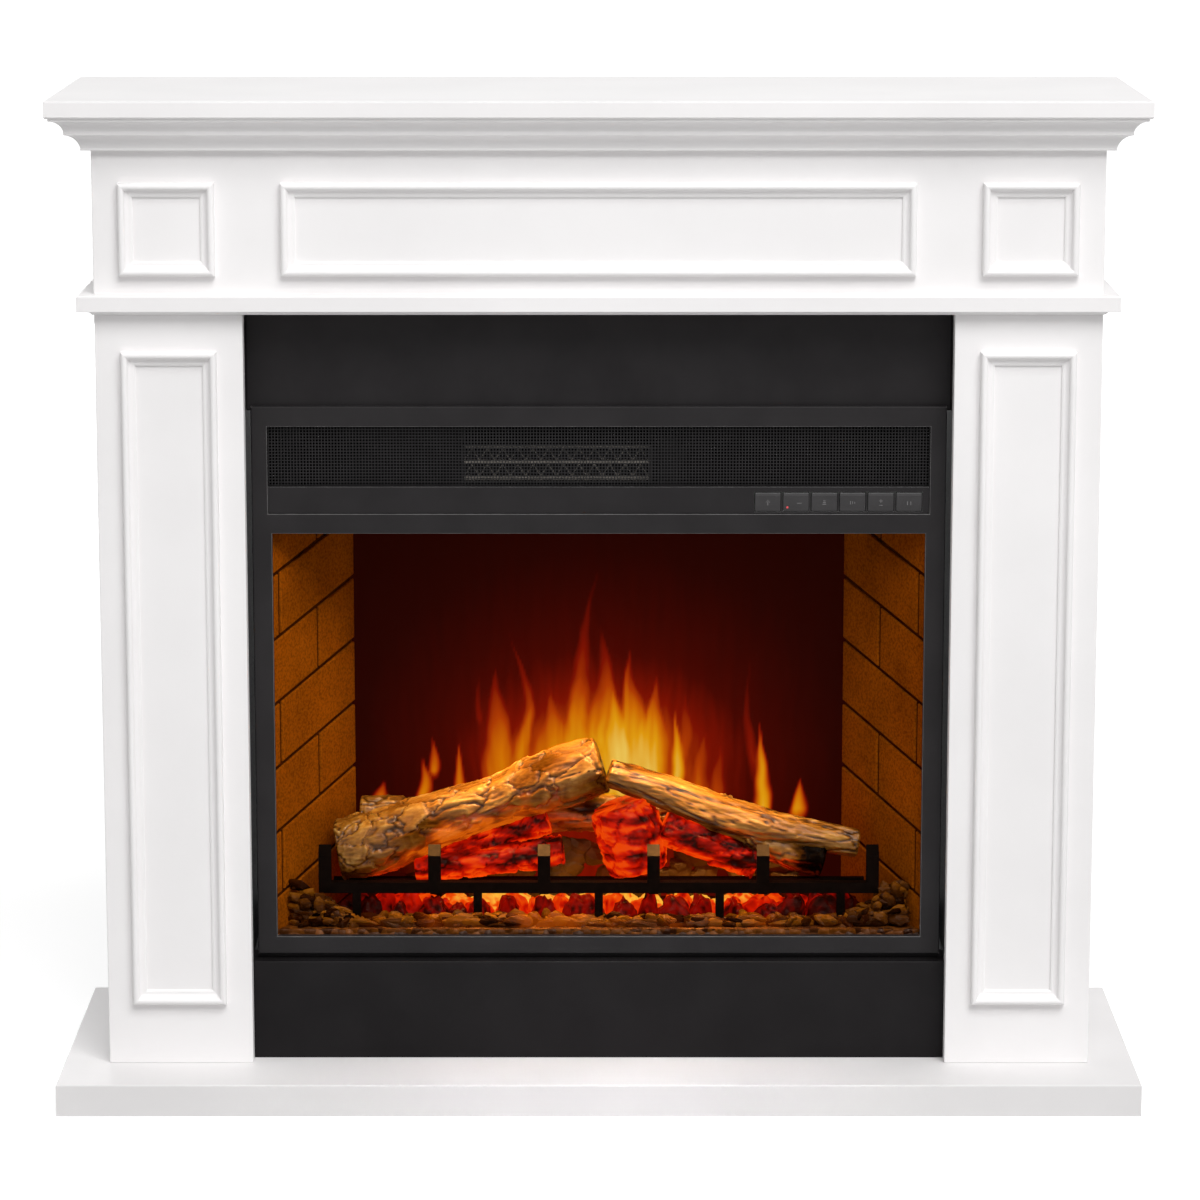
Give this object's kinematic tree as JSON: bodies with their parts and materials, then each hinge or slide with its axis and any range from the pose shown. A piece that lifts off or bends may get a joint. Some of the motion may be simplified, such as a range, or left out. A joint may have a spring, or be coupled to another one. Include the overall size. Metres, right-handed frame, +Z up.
{
  "type": "electric fireplace",
  "caption": "Free-standing electric fireplace: white panelled mantel surround on a hearth slab, black fascia, and a glazed log-effect firebox insert with a fan heater and push keys.",
  "frame": {"origin": "centre of the object's footprint on the floor", "axes": "+X to the viewer's right along the mantel, +Y back to the wall, +Z up"},
  "size_m": [1.012, 0.334, 0.941],
  "materials": {
    "white_lacquer": "white satin lacquer on fibreboard",
    "raw_board": "unpainted fibreboard",
    "black_lacquer": "black satin lacquer on fibreboard",
    "black_steel": "black powder coat",
    "zinc_steel": "zinc-coated sheet",
    "black_plastic": "fine-grained black moulding",
    "rubber": "matt black",
    "clear_glass": "clear toughened glass",
    "red_lens": "clear red lens, lit",
    "circuit_board": "green solder mask",
    "aluminium": "folded bare fins",
    "motor_steel": "laminated steel and black enamel",
    "brick_lining": "moulded fire-brick lining, matt",
    "flame_screen": "translucent flame screen, lit from behind",
    "ember_resin": "translucent ember moulding, lit from below",
    "stone_resin": "rough brown grit",
    "cast_iron": "black cast",
    "log_resin": "moulded bark, hand-coloured",
    "foil": "bright foil vanes"
  },
  "bodies": {
    "surround": {"back_rail": "raw_board", "blower_housing": "zinc_steel", "blower_motor": "motor_steel", "brick_panel_left": "brick_lining", "brick_panel_right": "brick_lining", "casing_back": "black_steel", "casing_bottom": "black_steel", "casing_sides": "black_steel", "casing_top": "black_steel", "coals": "ember_resin", "control_panel": "black_plastic", "cord_gland": "rubber", "cover_screws": "zinc_steel", "crown_moulding": "white_lacquer", "ember_bed": "ember_resin", "ember_logs": "ember_resin", "flame_screen": "flame_screen", "frieze_board": "white_lacquer", "frieze_moulding_centre": "white_lacquer", "frieze_moulding_squares": "white_lacquer", "front_frame": "black_steel", "glass_pane": "clear_glass", "grate": "cast_iron", "hearth_slab": "white_lacquer", "heater_nozzle": "zinc_steel", "heater_partition": "black_steel", "inner_cheek_left": "black_lacquer", "inner_cheek_right": "black_lacquer", "insert_platform": "black_lacquer", "led_strips": "circuit_board", "ledge_moulding": "white_lacquer", "log_back": "log_resin", "log_left": "log_resin", "log_right": "log_resin", "lower_fascia": "black_lacquer", "mantel_shelf": "white_lacquer", "outlet_grille": "black_steel", "pilaster_board_left": "white_lacquer", "pilaster_board_right": "white_lacquer", "pilaster_moulding_left": "white_lacquer", "pilaster_moulding_right": "white_lacquer", "ptc_heater": "aluminium", "shaft_bearing": "zinc_steel", "side_panel_left": "white_lacquer", "side_panel_right": "white_lacquer", "soffit_batten": "raw_board", "spindle_motor": "motor_steel", "stones": "stone_resin", "switch_board": "circuit_board", "upper_fascia": "black_lacquer", "wall_brackets": "zinc_steel"},
    "button_1": {"button_1": "black_plastic"},
    "button_2": {"button_2": "black_plastic", "key_lamp": "red_lens"},
    "button_3": {"button_3": "black_plastic"},
    "button_4": {"button_4": "black_plastic"},
    "button_5": {"button_5": "black_plastic"},
    "button_6": {"button_6": "black_plastic"},
    "blower": {"blower_wheel": "black_plastic"},
    "flame_spindle": {"flame_spindle": "foil"}
  },
  "joints": [
    {"name": "press_button_1", "type": "slide", "parent": "surround", "child": "button_1", "axis": [0, 1, 0], "range_m": [0, 0.0015], "stiffness_N_per_m": 400},
    {"name": "press_button_2", "type": "slide", "parent": "surround", "child": "button_2", "axis": [0, 1, 0], "range_m": [0, 0.0015], "stiffness_N_per_m": 400},
    {"name": "press_button_3", "type": "slide", "parent": "surround", "child": "button_3", "axis": [0, 1, 0], "range_m": [0, 0.0015], "stiffness_N_per_m": 400},
    {"name": "press_button_4", "type": "slide", "parent": "surround", "child": "button_4", "axis": [0, 1, 0], "range_m": [0, 0.0015], "stiffness_N_per_m": 400},
    {"name": "press_button_5", "type": "slide", "parent": "surround", "child": "button_5", "axis": [0, 1, 0], "range_m": [0, 0.0015], "stiffness_N_per_m": 400},
    {"name": "press_button_6", "type": "slide", "parent": "surround", "child": "button_6", "axis": [0, 1, 0], "range_m": [0, 0.0015], "stiffness_N_per_m": 400},
    {"name": "blower_spin", "type": "hinge", "parent": "surround", "child": "blower", "pos_m": [-0.039, 0.007, 0.5998], "axis": [1, 0, 0], "continuous": true},
    {"name": "flame_spindle_spin", "type": "hinge", "parent": "surround", "child": "flame_spindle", "pos_m": [0, 0.0938, 0.1926], "axis": [1, 0, 0], "continuous": true}
  ]
}
